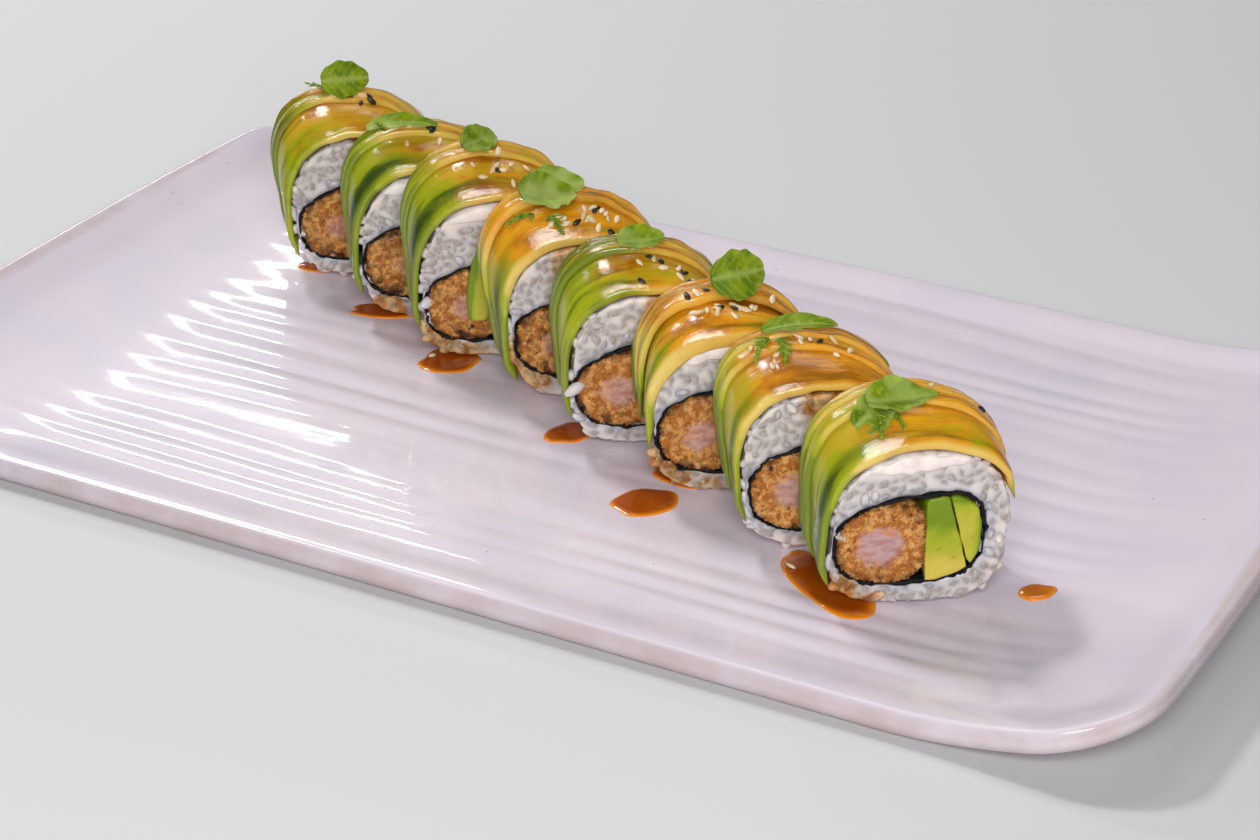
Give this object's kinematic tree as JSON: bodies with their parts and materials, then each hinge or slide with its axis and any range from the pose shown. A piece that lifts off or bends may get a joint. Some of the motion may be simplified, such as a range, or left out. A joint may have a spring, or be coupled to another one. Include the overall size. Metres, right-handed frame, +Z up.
{
  "type": "avocado-topped uramaki roll on a plate",
  "caption": "Inside-out sushi roll cut into pieces, with crumbed prawn and avocado inside and glazed avocado slices on top, in a diagonal row on a ridged rectangular plate.",
  "frame": {"origin": "on the table under the middle of the plate", "axes": "+X along the plate's long axis towards the front end of the roll, +Y across the plate away from the side that the cut faces are turned to, +Z up"},
  "size_m": [0.3228, 0.196, 0.0616],
  "materials": {
    "plate": "glossy pale lilac-white glaze with fine lengthwise ridges",
    "rice": "moist cooked rice grains",
    "nori": "damp dark seaweed sheet",
    "crumbed_prawn": "fried golden-brown crumb round pale pink prawn",
    "avocado": "ripe avocado, green at the skin side and yellow inside",
    "glazed_avocado": "thin avocado slices under a shiny amber glaze",
    "cream_cheese": "smooth soft white cream",
    "leaf": "fresh green garnish leaf with pale veins"
  },
  "bodies": {
    "root": {"plate": "plate", "rice_1": "rice", "nori_1": "nori", "prawn_1": "crumbed_prawn", "avocado_stick_a_1": "avocado", "avocado_stick_b_1": "avocado", "avocado_fan_1": "glazed_avocado", "rice_2": "rice", "nori_2": "nori", "prawn_2": "crumbed_prawn", "avocado_stick_a_2": "avocado", "avocado_stick_b_2": "avocado", "avocado_fan_2": "glazed_avocado", "rice_3": "rice", "nori_3": "nori", "prawn_3": "crumbed_prawn", "avocado_stick_a_3": "avocado", "avocado_stick_b_3": "avocado", "avocado_fan_3": "glazed_avocado", "rice_4": "rice", "nori_4": "nori", "prawn_4": "crumbed_prawn", "avocado_stick_a_4": "avocado", "avocado_stick_b_4": "avocado", "avocado_fan_4": "glazed_avocado", "rice_5": "rice", "nori_5": "nori", "prawn_5": "crumbed_prawn", "avocado_stick_a_5": "avocado", "avocado_stick_b_5": "avocado", "avocado_fan_5": "glazed_avocado", "rice_6": "rice", "nori_6": "nori", "prawn_6": "crumbed_prawn", "avocado_stick_a_6": "avocado", "avocado_stick_b_6": "avocado", "avocado_fan_6": "glazed_avocado", "rice_7": "rice", "nori_7": "nori", "prawn_7": "crumbed_prawn", "avocado_stick_a_7": "avocado", "avocado_stick_b_7": "avocado", "avocado_fan_7": "glazed_avocado", "rice_8": "rice", "nori_8": "nori", "prawn_8": "crumbed_prawn", "avocado_stick_a_8": "avocado", "avocado_stick_b_8": "avocado", "avocado_fan_8": "glazed_avocado", "cream_2": "cream_cheese", "cream_3": "cream_cheese", "cream_6": "cream_cheese", "cream_8": "cream_cheese", "leaf_1": "leaf", "leaf_4": "leaf", "leaf_6": "leaf", "leaf_8": "leaf", "slipped_slice": "avocado"}
  },
  "joints": []
}
